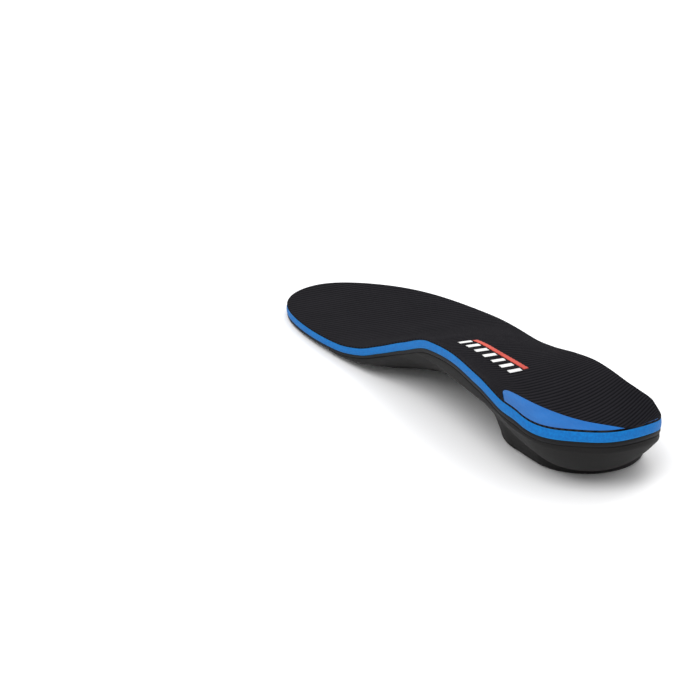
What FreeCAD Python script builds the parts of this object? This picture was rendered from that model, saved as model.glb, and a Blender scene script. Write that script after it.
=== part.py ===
"""Cushioned arch-support insole for a right shoe.

Frame: X from the heel to the toe, Y towards the inner (arch) side of the foot, Z up.
The origin is on the heel post's floor face, under the centre of the heel cup.  Sizes in x
are counted from the rearmost point of the heel, and the finished nodes are then moved
back by heel_centre_x.  Millimetres.
"""
import FreeCAD, Part
import math
import os
import Sketcher
from FreeCAD import Vector

doc = FreeCAD.newDocument("insole")
os.makedirs("parts", exist_ok=True)

# ---------------------------------------------------------------- driving sizes
SIZES = [
    # whole insole, in plan
    ("insole_length", 281.0, "heel to toe"),
    ("heel_centre_x", 34.0, "centre of the heel cup"),
    ("arch_crest_x", 93.0, "highest point of the arch edge"),
    ("ball_x", 214.0, "widest place, at the ball of the foot"),
    ("heel_width", 70.5, "across the heel cup"),
    ("waist_width", 73.0, "across the arch"),
    ("ball_width", 88.5, "across the ball"),
    # heights of the top of the cushion
    ("heel_seat_height", 11.5, "bottom of the heel cup"),
    ("cup_rim_height", 25.0, "outer edge of the heel cup"),
    ("arch_rim_height", 38.0, "inner edge, at the arch crest"),
    ("instep_height", 16.5, "middle of the insole under the arch"),
    # layers, measured square to the surface
    ("cover_thickness", 0.8, "knit top cover"),
    ("cushion_thickness", 3.3, "full-length foam cushion"),
    ("cushion_heel_extra", 0.6, "how much thicker the cushion is under the heel"),
    ("backing_thickness", 1.3, "thin foam backing"),
    ("patch_thickness", 0.25, "heel patch film"),
    ("print_thickness", 0.1, "arch print film"),
    # moulded base
    ("base_front_x", 199.0, "front edge on the middle"),
    ("base_front_outer_x", 150.0, "front end of the outer edge"),
    ("base_front_inner_x", 206.0, "front end of the inner edge"),
    ("base_edge_inset", 0.5, "base edge inside the cushion edge"),
    ("base_shell_thickness", 3.6, "wall of the base under the arch"),
    ("post_length", 65.5, "floor face of the heel post"),
    ("post_width", 45.0, "floor face of the heel post, behind"),
    ("post_front_width", 48.0, "floor face of the heel post, in front"),
    ("post_rear_x", 27.0, "rear of the floor face"),
    ("post_offset", -8.0, "middle of the floor face, towards the outer side"),
    ("post_height", 12.0, "top of the lower wall of the post"),
    ("post_draft", 3.0, "how far the lower wall leans out above its round edge"),
    ("post_round", 4.0, "rounding of the floor edge"),
    # hinge line across the ball
    ("flex_clearance", 7.0, "from the front of the base to the hinge line"),
    ("flex_angle", 14.0, "degrees, the inner end lies further forward"),
    ("flex_gap", 0.3, "between the rear and toe halves of a layer"),
    # stiffener buried between backing and base
    ("stiffener_thickness", 1.4, "arch shell"),
    ("stiffener_inset", 9.0, "its edge inside the cushion edge"),
    ("stiffener_front_x", 150.0, "front end"),
    # heel patch and arch print
    ("patch_length", 88.5, "front tip, from the heel"),
    ("patch_width", 42.0, "across"),
    ("patch_offset", 4.5, "its middle lies this far inwards"),
    ("patch_edge_inset", 0.9, "bare cover left along the rim"),
    ("print_bar_length", 6.4, "one bar"),
    ("print_bar_width", 3.0, "one bar"),
    ("print_bar_pitch", 7.2, "from bar to bar"),
    ("print_stripe_length", 45.0, "stripe beside the bars"),
    ("print_stripe_width", 2.6, "stripe beside the bars"),
    ("print_gap", 1.0, "between bars and stripe"),
    ("print_x", 133.0, "middle of the row"),
    ("print_y", -3.1, "middle of the row"),
    ("print_angle", 5.0, "degrees from the length of the insole"),
]
sheet = doc.addObject("Spreadsheet::Sheet", "Sizes")
for row, (name, value, note) in enumerate(SIZES, start=1):
    sheet.set("A%d" % row, name)
    sheet.set("B%d" % row, str(value))
    sheet.set("C%d" % row, note)
    sheet.setAlias("B%d" % row, name)
doc.recompute()


def size(name):
    """A driving size, as the sheet holds it."""
    return float(getattr(sheet, name))


def bind(obj, prop, formula):
    """Ties a property to the sheet; sizes are written <name>."""
    obj.setExpression(prop, formula.replace("<", "Sizes.").replace(">", ""))


# ---------------------------------------------------------------- shape of the last
# One row per station: x, outer edge y, inner edge y, height of the outer edge, of the
# middle and of the inner edge, as drawn.  The driving sizes stretch the rows.
DRAWN = dict(length=281.0, heel=34.0, crest=93.0, ball=214.0, heel_w=70.5, waist_w=73.0,
             ball_w=88.5, seat=11.5, cup=25.0, arch=38.0, instep=16.5, flat=4.6)
STATIONS = [
    (34, -32.5, 33.0, 25.0, 11.5, 31.5),
    (48, -34.5, 35.0, 25.0, 11.6, 33.5),
    (68, -36.0, 35.5, 24.2, 12.6, 37.0),
    (93, -38.0, 35.0, 22.0, 15.0, 38.0),
    (118, -39.3, 35.2, 17.5, 16.3, 35.6),
    (143, -41.0, 36.5, 11.5, 16.5, 26.5),
    (163, -42.5, 39.0, 7.8, 14.6, 18.0),
    (180, -43.2, 41.5, 6.4, 10.4, 11.5),
    (198, -43.0, 44.2, 5.5, 6.4, 8.0),
    (222, -38.5, 45.5, 4.8, 4.8, 6.4),
    (250, -28.5, 44.0, 4.7, 4.7, 5.5),
    (290, -28.5, 40.0, 4.7, 4.7, 4.8),
]
REAR_RIM = 30.5          # height of the rim behind the heel, as drawn
CUP_CURVE = 2.7          # how late the cup wall turns up, higher is later
ARCH_CURVE = 1.75        # the same, at the arch
EDGE = [(0, 0), (5.6, -18.5), (25.7, -31.3), (58, -35), (93, -38), (128, -40), (163, -42.5),
        (198, -42.6), (228, -35.8), (255, -23.5), (273, -6), (281, 13), (277, 28), (264, 40),
        (243, 45.3), (216, 45.5), (186, 42.5), (156, 38), (126, 35.5), (93, 35), (60, 35.5),
        (28, 32), (6, 19)]


def between(xs, ys, x):
    """A smooth curve through (xs, ys) that never overshoots, read at x."""
    if x <= xs[0]:
        return ys[0]
    if x >= xs[-1]:
        return ys[-1]
    step = [(ys[i + 1] - ys[i]) / (xs[i + 1] - xs[i]) for i in range(len(xs) - 1)]
    slope = [step[0]]
    for a, b in zip(step, step[1:]):
        slope.append(0.0 if a * b <= 0 else 2 * a * b / (a + b))
    slope.append(step[-1])
    i = max(k for k in range(len(xs) - 1) if xs[k] <= x)
    h = xs[i + 1] - xs[i]
    t = (x - xs[i]) / h
    return ((1 + 2 * t) * (1 - t) ** 2 * ys[i] + t * (1 - t) ** 2 * h * slope[i]
            + t * t * (3 - 2 * t) * ys[i + 1] + t * t * (t - 1) * h * slope[i + 1])


FLAT = size("cushion_thickness") + size("backing_thickness")
HEEL_PAD = (50.0, 110.0)     # the cushion's extra thickness fades out between these, as drawn
DRAWN_X = [0.0, DRAWN["heel"], DRAWN["crest"], DRAWN["ball"], DRAWN["length"]]
REAL_X = [0.0, size("heel_centre_x"), size("arch_crest_x"), size("ball_x"), size("insole_length")]


def stretch_x(x):
    """Drawn x to real x."""
    i = max(k for k in range(4) if DRAWN_X[k] <= max(x, 0.0))
    t = (x - DRAWN_X[i]) / (DRAWN_X[i + 1] - DRAWN_X[i])
    return REAL_X[i] + t * (REAL_X[i + 1] - REAL_X[i])


def stretch_y(x, y):
    """Drawn y to real y, for a point at drawn x."""
    grade = [size("heel_width") / DRAWN["heel_w"], size("waist_width") / DRAWN["waist_w"],
             size("ball_width") / DRAWN["ball_w"]]
    return y * between([50.0, 110.0, 200.0], grade, x)


def lift(z, drawn_peak, real_peak):
    """Drawn height to real height, where the flat forefoot stays flat."""
    return FLAT + (z - DRAWN["flat"]) * (real_peak - FLAT) / (drawn_peak - DRAWN["flat"])


XS = [stretch_x(r[0]) for r in STATIONS]
OUTER_Y = [stretch_y(r[0], r[1]) for r in STATIONS]
INNER_Y = [stretch_y(r[0], r[2]) for r in STATIONS]
OUTER_Z = [lift(r[3], DRAWN["cup"], size("cup_rim_height")) for r in STATIONS]
MIDDLE_Z = [lift(r[4], DRAWN["seat"], size("heel_seat_height")) if r[0] < 60
            else lift(r[4], DRAWN["instep"], size("instep_height")) for r in STATIONS]
INNER_Z = [lift(r[5], DRAWN["arch"], size("arch_rim_height")) for r in STATIONS]
BACK_Z = lift(REAR_RIM, DRAWN["cup"], size("cup_rim_height"))


def rise(u, curve):
    """0 in the middle and 1 at the edge, going on straight past it."""
    u = abs(u)
    return u ** curve if u < 1 else 1 + curve * (u - 1)


def top_of_cushion(x, y):
    """Height of the cushion's top at a point of the plan."""
    heel = XS[0]
    outer, inner = between(XS, OUTER_Y, x), between(XS, INNER_Y, x)
    outer_z, inner_z = between(XS, OUTER_Z, x), between(XS, INNER_Z, x)
    across = y / (inner if y > 0 else -outer)
    side_z = inner_z if y > 0 else outer_z
    if x < heel:
        along = (heel - x) / heel
        r = math.hypot(along, across)
        back = (along / r) ** 2 if r > 0 else 0.0
        edge_z = side_z + (BACK_Z - side_z) * back
        return MIDDLE_Z[0] + (edge_z - MIDDLE_Z[0]) * rise(r, CUP_CURVE)
    flatter = min(1.0, (x - heel) / (size("arch_crest_x") - heel))
    curve = CUP_CURVE + (ARCH_CURVE - CUP_CURVE) * flatter
    middle = between(XS, MIDDLE_Z, x)
    return middle + (side_z - middle) * rise(across, curve)


def square_to(x, y):
    """How much taller a layer stands than it is thick where the surface leans.

    The layers are drawn thinner over the steep cup wall, so this stops at a fifth.
    """
    d = 1.0
    gx = (top_of_cushion(x + d, y) - top_of_cushion(x - d, y)) / (2 * d)
    gy = (top_of_cushion(x, y + d) - top_of_cushion(x, y - d)) / (2 * d)
    return math.sqrt(1 + min(gx * gx + gy * gy, 0.44))


def cushion_at(x):
    """Thickness of the cushion at a distance from the heel."""
    rear, front = (stretch_x(v) for v in HEEL_PAD)
    return size("cushion_thickness") + size("cushion_heel_extra") * between([rear, front], [1.0, 0.0], x)


# how much of the base wall is there: outer edge, middle and inner edge, by drawn x
WALL = [
    (-8, 0.60, 0.60, 0.50), (50, 0.80, 0.80, 0.14), (75, 1.35, 1.00, 0.30), (95, 0.95, 1.00, 0.45),
    (112, 0.72, 1.00, 0.14), (128, 0.45, 1.25, 0.18), (141, 0.36, 1.60, 0.16),
    (153, 0.28, 2.10, 0.36), (170, 0.14, 2.30, 0.80), (190, 0.14, 1.05, 0.45),
    (212, 0.12, 0.12, 0.12), (300, 0.12, 0.12, 0.12)]
THIN_OUT = 1.8               # how early the wall takes its edge thickness, lower is earlier


def base_wall(x, y):
    """Upright thickness of the base shell, as far down as the floor."""
    xs = [stretch_x(w[0]) for w in WALL]
    outer, middle, inner = (between(xs, [w[k] for w in WALL], x) for k in (1, 2, 3))
    edge = inner if y > 0 else outer
    u = y / (between(XS, INNER_Y, x) if y > 0 else -between(XS, OUTER_Y, x))
    share = middle + (edge - middle) * min(abs(u), 1.0) ** THIN_OUT
    return share * size("base_shell_thickness")


SPARE = 8.0              # how far the layers' surfaces run past the outline
GRID = (34, 14)          # points that each surface goes through, along and across


def height_field(name, height):
    """Everything below a smooth surface z = height(x, y), down to far under the floor."""
    length, half = size("insole_length"), size("ball_width") / 2 + SPARE
    grid = []
    for i in range(GRID[0]):
        x = -SPARE + (length + 2 * SPARE) * i / (GRID[0] - 1)
        ys = [-half + 2 * half * j / (GRID[1] - 1) for j in range(GRID[1])]
        grid.append([Vector(x, y, height(x, y)) for y in ys])
    surface = Part.BSplineSurface()
    surface.interpolate(grid)
    obj = doc.addObject("Part::Feature", name)
    obj.Shape = surface.toShape().extrude(Vector(0, 0, -3 * size("arch_rim_height")))
    return obj


def layer(over, cushion=0.0, under=lambda x, y: 0.0):
    """A height function: so much over the cushion's top, or under its whole thickness."""
    return lambda x, y: top_of_cushion(x, y) + square_to(x, y) * (
        over - cushion * cushion_at(x) - under(x, y))


COVER, BACKING = size("cover_thickness"), size("backing_thickness")
LAYERS = [
    ("under_print", layer(COVER + size("print_thickness"))),
    ("under_patch", layer(COVER + size("patch_thickness"))),
    ("under_cover", layer(COVER)),
    ("under_cushion", layer(0.0)),
    ("under_backing", layer(0.0, 1.0)),
    ("under_base", layer(-BACKING, 1.0)),
    ("under_stiffener", layer(-BACKING - size("stiffener_thickness"), 1.0)),
    ("hollow", layer(-BACKING, 1.0, base_wall)),
]
below = {name: height_field(name, height) for name, height in LAYERS}


# ---------------------------------------------------------------- plan outlines
def loop_through(points):
    """A smooth closed curve through flat points."""
    curve = Part.BSplineCurve()
    curve.interpolate([Vector(x, y, 0) for x, y in points], PeriodicFlag=True)
    return curve


def closed_curve(name, points):
    """A flat face inside a smooth closed curve."""
    obj = doc.addObject("Part::Feature", name)
    obj.Shape = Part.Face(Part.Wire(loop_through(points).toShape()))
    if obj.Shape.normalAt(0, 0).z < 0:
        obj.Shape = obj.Shape.reversed()
    return obj


def moved_in(points, inset):
    """The points of a closed curve that runs anticlockwise, each moved square to it, inwards."""
    curve = loop_through(points)
    moved = []
    for x, y in points:
        along = curve.tangent(curve.parameter(Vector(x, y, 0)))[0]
        moved.append((x - along.y * inset, y + along.x * inset))
    return moved


def column(name, base, shift="0"):
    """The upright column over a flat face, from under the floor to above the heel."""
    obj = doc.addObject("Part::Extrusion", name)
    obj.Base = base
    obj.DirMode = "Custom"
    obj.Dir = Vector(0, 0, 1)
    obj.Solid = True
    bind(obj, "LengthFwd", "<arch_rim_height> + 40")
    bind(obj, "Placement.Base.z", shift)
    return obj


def common(name, *parts):
    obj = doc.addObject("Part::MultiCommon", name)
    obj.Shapes = list(parts)
    return obj


def cut(name, base, tool):
    obj = doc.addObject("Part::Cut", name)
    obj.Base = base
    obj.Tool = tool
    return obj


def fuse(name, *parts):
    obj = doc.addObject("Part::MultiFuse", name)
    obj.Shapes = list(parts)
    return obj


edge_points = [(stretch_x(x), stretch_y(x, y)) for x, y in EDGE]
edge = closed_curve("edge", edge_points)
edge_column = column("edge_column", edge, "-1")


# ---------------------------------------------------------------- full-length layers
over_cover = common("over_cover", edge_column, below["under_cover"])
over_cushion = common("over_cushion", edge_column, below["under_cushion"])
over_backing = common("over_backing", edge_column, below["under_backing"])
cover = cut("cover", over_cover, below["under_cushion"])
cushion = cut("cushion", over_cushion, below["under_backing"])
backing = cut("backing", over_backing, below["under_base"])

FLEX_X = "<base_front_x> + <flex_clearance>"


def half_space(name, side):
    """A block behind (-1) or ahead (+1) of the hinge line, half the gap away from it."""
    obj = doc.addObject("Part::Box", name)
    bind(obj, "Length", "<insole_length>")
    bind(obj, "Width", "<ball_width> * 4")
    bind(obj, "Height", "<arch_rim_height> + 60")
    back = "-<insole_length> - <flex_gap> / 2" if side < 0 else "<flex_gap> / 2"
    # the block is turned about the hinge line's middle, so its corner is turned too
    bind(obj, "Placement.Rotation.Angle", "-<flex_angle>")
    obj.Placement.Rotation.Axis = Vector(0, 0, 1)
    turn = "cos(<flex_angle> * 1 deg)", "sin(<flex_angle> * 1 deg)"
    bind(obj, "Placement.Base.x", "%s + (%s) * %s - <ball_width> * 2 * %s" % (FLEX_X, back, *turn))
    bind(obj, "Placement.Base.y", "-(%s) * %s - <ball_width> * 2 * %s" % (back, turn[1], turn[0]))
    bind(obj, "Placement.Base.z", "-10")
    return obj


rear_side = half_space("rear_side", -1)
toe_side = half_space("toe_side", 1)
nodes = {
    "top_cover_rear": common("top_cover_rear", cover, rear_side),
    "top_cover_toe": common("top_cover_toe", cover, toe_side),
    "cushion_rear": common("cushion_rear", cushion, rear_side),
    "cushion_toe": common("cushion_toe", cushion, toe_side),
    "backing_rear": common("backing_rear", backing, rear_side),
    "backing_toe": common("backing_toe", backing, toe_side),
}


# ---------------------------------------------------------------- sketches
def sketch(name, body=None, z="0", y="0"):
    obj = doc.addObject("Sketcher::SketchObject", name)
    if body is not None:
        body.addObject(obj)
        obj.AttachmentSupport = (body.Origin.OriginFeatures[3], [""])
        obj.MapMode = "FlatFace"
        bind(obj, "AttachmentOffset.Base.y", y)
        bind(obj, "AttachmentOffset.Base.z", z)
    return obj


def polygon(name, corners):
    """A closed sketch of straight lines; every corner's x and y is a formula of sizes."""
    sk = sketch(name)
    n = len(corners)
    start = [Vector(10 * math.cos(-k * 2 * math.pi / n), -10 * math.sin(-k * 2 * math.pi / n), 0)
             for k in range(n)]
    for k in range(n):
        sk.addGeometry(Part.LineSegment(start[k], start[(k + 1) % n]))
    for k in range(n):
        sk.addConstraint(Sketcher.Constraint("Coincident", k, 2, (k + 1) % n, 1))
    for k, (x, y) in enumerate(corners):
        for kind, axis, formula in (("DistanceX", "x", x), ("DistanceY", "y", y)):
            i = sk.addConstraint(Sketcher.Constraint(kind, -1, 1, k, 1, 1.0))
            sk.renameConstraint(i, "corner%d%s" % (k, axis))
            bind(sk, "Constraints.corner%d%s" % (k, axis), formula)
    return sk


def egg(sk, rear, front, rear_radius, front_radius, drawn):
    """Two circles on the sketch's X axis joined by their tangents: an outline of the heel post."""
    (xr, rr), (xf, rf) = drawn
    lean = math.asin((rr - rf) / (xf - xr))
    nx, ny = math.sin(lean), math.cos(lean)
    sk.addGeometry(Part.ArcOfCircle(Part.Circle(Vector(xr, 0, 0), Vector(0, 0, 1), rr),
                                    math.pi / 2 - lean, 3 * math.pi / 2 + lean))
    sk.addGeometry(Part.ArcOfCircle(Part.Circle(Vector(xf, 0, 0), Vector(0, 0, 1), rf),
                                    -math.pi / 2 + lean, math.pi / 2 - lean))
    sk.addGeometry(Part.LineSegment(Vector(xr + rr * nx, rr * ny, 0), Vector(xf + rf * nx, rf * ny, 0)))
    sk.addGeometry(Part.LineSegment(Vector(xf + rf * nx, -rf * ny, 0), Vector(xr + rr * nx, -rr * ny, 0)))
    for a, pa, b, pb in ((0, 1, 2, 1), (2, 2, 1, 2), (1, 1, 3, 1), (3, 2, 0, 2)):
        sk.addConstraint(Sketcher.Constraint("Tangent", a, pa, b, pb))
    sk.addConstraint(Sketcher.Constraint("PointOnObject", 0, 3, -1))
    sk.addConstraint(Sketcher.Constraint("PointOnObject", 1, 3, -1))
    for label, kind, args, formula in (
            ("rear_x", "DistanceX", (-1, 1, 0, 3, xr), rear), ("front_x", "DistanceX", (-1, 1, 1, 3, xf), front),
            ("rear_r", "Radius", (0, rr), rear_radius), ("front_r", "Radius", (1, rf), front_radius)):
        i = sk.addConstraint(Sketcher.Constraint(kind, *args))
        sk.renameConstraint(i, label)
        bind(sk, "Constraints." + label, formula)


# ---------------------------------------------------------------- moulded base
post = doc.addObject("PartDesign::Body", "post")
FRONT_CENTRE = "<post_rear_x> + <post_length> - <post_front_width> / 2"
HALF_ROUND = math.sin(math.pi / 4)      # half-way round the floor edge's rounding
rings = []
for name, z, grow in (("post_floor", "0", "0"),
                      ("post_bevel", "<post_round> * %f" % (1 - HALF_ROUND), "<post_round> * %f" % HALF_ROUND),
                      ("post_side", "<post_round>", "<post_round>"),
                      ("post_ledge", "<post_height>", "<post_round> + <post_draft>")):
    ring = sketch(name, post, z, "<post_offset>")
    egg(ring, "<post_rear_x> + <post_width> / 2", FRONT_CENTRE, "<post_width> / 2 + %s" % grow,
        "<post_front_width> / 2 + %s" % grow, ((49.5, 22.5), (68.5, 24)))
    rings.append(ring)
flare = sketch("post_flare", post, "<cup_rim_height> + 1")
egg(flare, "<heel_centre_x>", FRONT_CENTRE, "<heel_width> / 2 + 2", "<heel_width> / 2 - 6", ((34, 37), (68.5, 29)))
rings.append(flare)
loft = post.newObject("PartDesign::AdditiveLoft", "post_loft")
loft.Profile = rings[0]
loft.Sections = rings[1:]
loft.Ruled = True

base_plan = polygon("base_plan", [
    ("-20", "-<ball_width>"), ("<base_front_outer_x>", "-<ball_width>"),
    ("<base_front_outer_x>", "-<ball_width> * 0.45"), ("<base_front_x>", "-<ball_width> * 0.08"),
    ("<base_front_inner_x>", "<ball_width> * 0.5"), ("<base_front_inner_x>", "<ball_width>"),
    ("-20", "<ball_width>")])
base_front = column("base_front", base_plan)
base_edge = closed_curve("base_edge", moved_in(edge_points, size("base_edge_inset")))
base_column = column("base_column", base_edge)
base_blank = common("base_blank", base_column, base_front, below["under_base"])
base_shell = cut("base_shell", base_blank, below["hollow"])
base_post = common("base_post", post, base_column, below["under_base"])
base_whole = fuse("base_whole", base_shell, base_post)

stiffener_edge = closed_curve("stiffener_edge", moved_in(edge_points, size("stiffener_inset")))
stiffener_column = column("stiffener_column", stiffener_edge)
stiffener_stop = doc.addObject("Part::Box", "stiffener_stop")
bind(stiffener_stop, "Length", "<stiffener_front_x> + 20")
bind(stiffener_stop, "Width", "<ball_width> * 2")
bind(stiffener_stop, "Height", "<arch_rim_height> + 60")
bind(stiffener_stop, "Placement.Base.x", "-20")
bind(stiffener_stop, "Placement.Base.y", "-<ball_width>")
stiffener_blank = common("stiffener_blank", stiffener_column, stiffener_stop, below["under_base"])
pocket = cut("stiffener_pocket", stiffener_blank, below["under_stiffener"])
nodes["arch_stiffener"] = cut("arch_stiffener", stiffener_blank, below["under_stiffener"])
nodes["base_cradle"] = cut("base_cradle", base_whole, pocket)


# ---------------------------------------------------------------- heel patch and arch print
PATCH_DRAWN = (88.5, 42.0, 4.5)          # its length, width and offset, as drawn
PATCH = [(88.5, 10.5), (85, 14.3), (79, 17.2), (71, 20.8), (57.6, 24.6), (40, 21.5), (20, 17), (-8, 12), (-14, -6),
         (-4, -24), (14, -24.5), (30, -20), (42, -15.5), (56, -8), (70, -1.2), (82, 4.4)]


def patch_points():
    """The patch's outline: a rounded tip at the front, and past the rim behind."""
    length, width, offset = PATCH_DRAWN
    return [(x * size("patch_length") / length,
             size("patch_offset") + (y - offset) * size("patch_width") / width) for x, y in PATCH]


patch_plan = closed_curve("patch_plan", patch_points())
patch_column = column("patch_column", patch_plan)
patch_edge = closed_curve("patch_edge", moved_in(edge_points, size("patch_edge_inset")))
patch_stop = column("patch_stop", patch_edge)
patch_blank = common("patch_blank", patch_column, patch_stop, below["under_patch"])
nodes["heel_patch"] = cut("heel_patch", patch_blank, below["under_cover"])

print_bars = []
for k in range(7):
    bar = doc.addObject("Part::Box", "bar_%d" % (k + 1))
    bind(bar, "Length", "<print_bar_width>")
    bind(bar, "Width", "<print_bar_length>")
    bind(bar, "Height", "<arch_rim_height> + 40")
    step = "(%d) * <print_bar_pitch>" % (k - 3)
    bind(bar, "Placement.Base.x", "<print_x> + %s * cos(<print_angle> * 1 deg) - <print_bar_width> / 2" % step)
    bind(bar, "Placement.Base.y", "<print_y> + %s * sin(<print_angle> * 1 deg) - <print_bar_length> / 2" % step)
    print_bars.append(bar)
bars_column = fuse("bars_column", *print_bars)
bars_blank = common("bars_blank", bars_column, below["under_print"])
nodes["arch_print_bars"] = cut("arch_print_bars", bars_blank, below["under_cover"])
stripe = doc.addObject("Part::Box", "stripe")
bind(stripe, "Length", "<print_stripe_length>")
bind(stripe, "Width", "<print_stripe_width>")
bind(stripe, "Height", "<arch_rim_height> + 40")
bind(stripe, "Placement.Rotation.Angle", "<print_angle>")
out = "(<print_bar_length> / 2 + <print_gap> + <print_stripe_width>)"
bind(stripe, "Placement.Base.x", "<print_x> - <print_stripe_length> / 2 * cos(<print_angle> * 1 deg)"
     " + %s * sin(<print_angle> * 1 deg)" % out)
bind(stripe, "Placement.Base.y", "<print_y> - <print_stripe_length> / 2 * sin(<print_angle> * 1 deg)"
     " - %s * cos(<print_angle> * 1 deg)" % out)
stripe_blank = common("stripe_blank", stripe, below["under_print"])
nodes["arch_print_stripe"] = cut("arch_print_stripe", stripe_blank, below["under_cover"])

# ---------------------------------------------------------------- check and write
for node in nodes.values():
    node.Label = node.Name
    bind(node, "Placement.Base.x", "-<heel_centre_x>")
doc.recompute()
for obj in doc.Objects:
    bad = [word for word in obj.State if word in ("Invalid", "Error")]
    if bad:
        raise RuntimeError("%s: %s" % (obj.Name, bad))
for name, node in nodes.items():
    shape = node.Shape
    if not shape.isValid() or shape.Volume <= 0:
        raise RuntimeError(name + " has no valid solid")
    shape.exportStep("parts/%s.step" % name)
    print("%-20s %9.1f mm3  %d solid(s)" % (name, shape.Volume, len(shape.Solids)))
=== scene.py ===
"""Visible pieces and finishes of a cushioned insole for a right shoe.

The foot bed's shape is worked out in millimetres, with x counted from the rearmost point of
the heel, as in the part's source, and is moved into the frame when a mesh is made.
"""
import logging
import math
from dataclasses import dataclass
from enum import Enum
from typing import Callable, Optional, Sequence

import bpy
import numpy as np
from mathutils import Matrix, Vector


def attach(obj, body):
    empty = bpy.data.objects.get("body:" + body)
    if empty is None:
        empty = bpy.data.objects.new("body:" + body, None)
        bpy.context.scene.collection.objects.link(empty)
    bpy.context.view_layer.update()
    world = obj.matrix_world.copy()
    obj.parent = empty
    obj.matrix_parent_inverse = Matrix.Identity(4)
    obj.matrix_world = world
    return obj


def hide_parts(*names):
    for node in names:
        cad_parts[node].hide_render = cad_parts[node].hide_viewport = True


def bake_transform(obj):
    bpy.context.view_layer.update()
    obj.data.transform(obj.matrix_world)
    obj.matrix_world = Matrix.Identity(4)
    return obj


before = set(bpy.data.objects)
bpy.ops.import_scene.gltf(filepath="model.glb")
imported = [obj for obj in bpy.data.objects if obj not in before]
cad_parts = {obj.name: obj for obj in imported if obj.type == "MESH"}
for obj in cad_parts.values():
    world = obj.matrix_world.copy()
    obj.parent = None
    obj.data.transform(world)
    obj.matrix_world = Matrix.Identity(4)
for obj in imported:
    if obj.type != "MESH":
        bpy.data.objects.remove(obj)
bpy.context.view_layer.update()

MM = 0.001
REAR, TOE = "rear", "toe"
RIB_PITCH = 2.6              # from rib to rib of the knit cover

log = logging.getLogger("insole")

Array = np.ndarray
Height = Callable[[Array, Array], Array]
Colour = tuple[float, float, float]


# ------------------------------------------------------------------ shape of the foot bed
def between(xs: Sequence[float], ys: Sequence[float], x: Array) -> Array:
    """A smooth curve through points that never overshoots.

    Args:
        xs: places of the points, rising.
        ys: values at the points.
        x: where the curve is read.

    Returns:
        The curve's values at x, held level past the ends.
    """
    xs, ys = np.asarray(xs, float), np.asarray(ys, float)
    x = np.clip(np.asarray(x, float), xs[0], xs[-1])
    step = np.diff(ys) / np.diff(xs)
    a, b = step[:-1], step[1:]
    turning = a * b <= 0
    inner = np.where(turning, 0.0, 2 * a * b / np.where(turning, 1.0, a + b))
    slope = np.concatenate([step[:1], inner, step[-1:]])
    i = np.clip(np.searchsorted(xs, x, side="right") - 1, 0, len(xs) - 2)
    h = xs[i + 1] - xs[i]
    t = (x - xs[i]) / h
    return ((1 + 2 * t) * (1 - t) ** 2 * ys[i] + t * (1 - t) ** 2 * h * slope[i]
            + t * t * (3 - 2 * t) * ys[i + 1] + t * t * (t - 1) * h * slope[i + 1])


def smooth_loop(points: Sequence[tuple[float, float]], count: int) -> Array:
    """Evenly shared points of the smooth closed curve through a few points.

    Args:
        points: corner points of the loop, in order.
        count: how many points to return.

    Returns:
        An array of count rows of x and y.
    """
    p = np.asarray(points, float)
    n = len(p)
    chord = np.linalg.norm(np.roll(p, -1, 0) - p, axis=1)
    before = np.roll(chord, 1)
    system = np.zeros((n, n))
    for k in range(n):
        system[k, k] = 2 * (before[k] + chord[k])
        system[k, k - 1] += before[k]
        system[k, (k + 1) % n] += chord[k]
    bend = 6 * ((np.roll(p, -1, 0) - p) / chord[:, None] - (p - np.roll(p, 1, 0)) / before[:, None])
    curve = np.linalg.solve(system, bend)
    at = np.concatenate([[0.0], np.cumsum(chord)])
    u = np.linspace(0.0, at[-1], count, endpoint=False)
    k = np.clip(np.searchsorted(at, u, side="right") - 1, 0, n - 1)
    nxt, h = (k + 1) % n, chord[k][:, None]
    a = (at[k + 1] - u)[:, None] / h
    b = 1 - a
    return (a * p[k] + b * p[nxt] + ((a ** 3 - a) * curve[k] + (b ** 3 - b) * curve[nxt]) * h * h / 6)


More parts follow.
